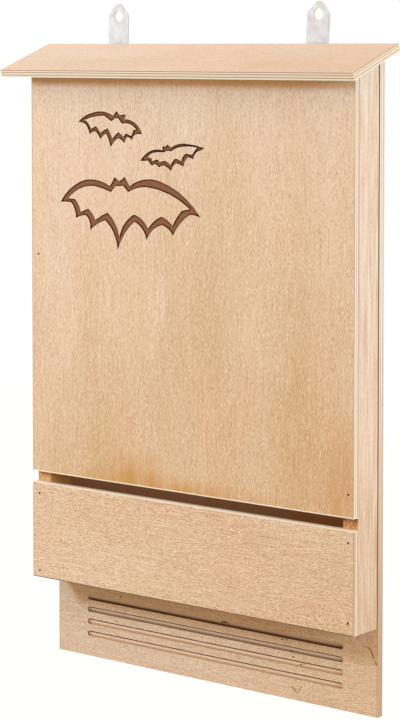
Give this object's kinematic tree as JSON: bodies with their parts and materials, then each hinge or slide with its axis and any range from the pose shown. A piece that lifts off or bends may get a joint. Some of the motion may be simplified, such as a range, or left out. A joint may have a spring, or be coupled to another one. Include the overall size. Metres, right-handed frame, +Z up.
{
  "type": "bat box",
  "caption": "Single-chamber plywood bat box with a sloping roof, a ventilation slot, a grooved landing strip and steel hanger plates for a wall.",
  "frame": {"origin": "midway between the two hanging holes, on the wall plane that the rear faces of the hanger plates lie on", "axes": "+X right seen from the front, +Y into the wall, +Z up"},
  "size_m": [0.314, 0.0556, 0.4843],
  "materials": {
    "plywood": "sanded bare plywood",
    "galvanised_steel": "dull galvanised",
    "brad_steel": "dull"
  },
  "bodies": {
    "root": {"back_panel": "plywood", "left_side_wall": "plywood", "right_side_wall": "plywood", "upper_front_panel": "plywood", "lower_front_board": "plywood", "roof_board": "plywood", "left_hanger": "galvanised_steel", "right_hanger": "galvanised_steel", "hanger_screws": "galvanised_steel", "upper_front_brads": "brad_steel", "lower_front_brads": "brad_steel", "back_brads": "brad_steel", "roof_brads": "brad_steel"}
  },
  "joints": []
}
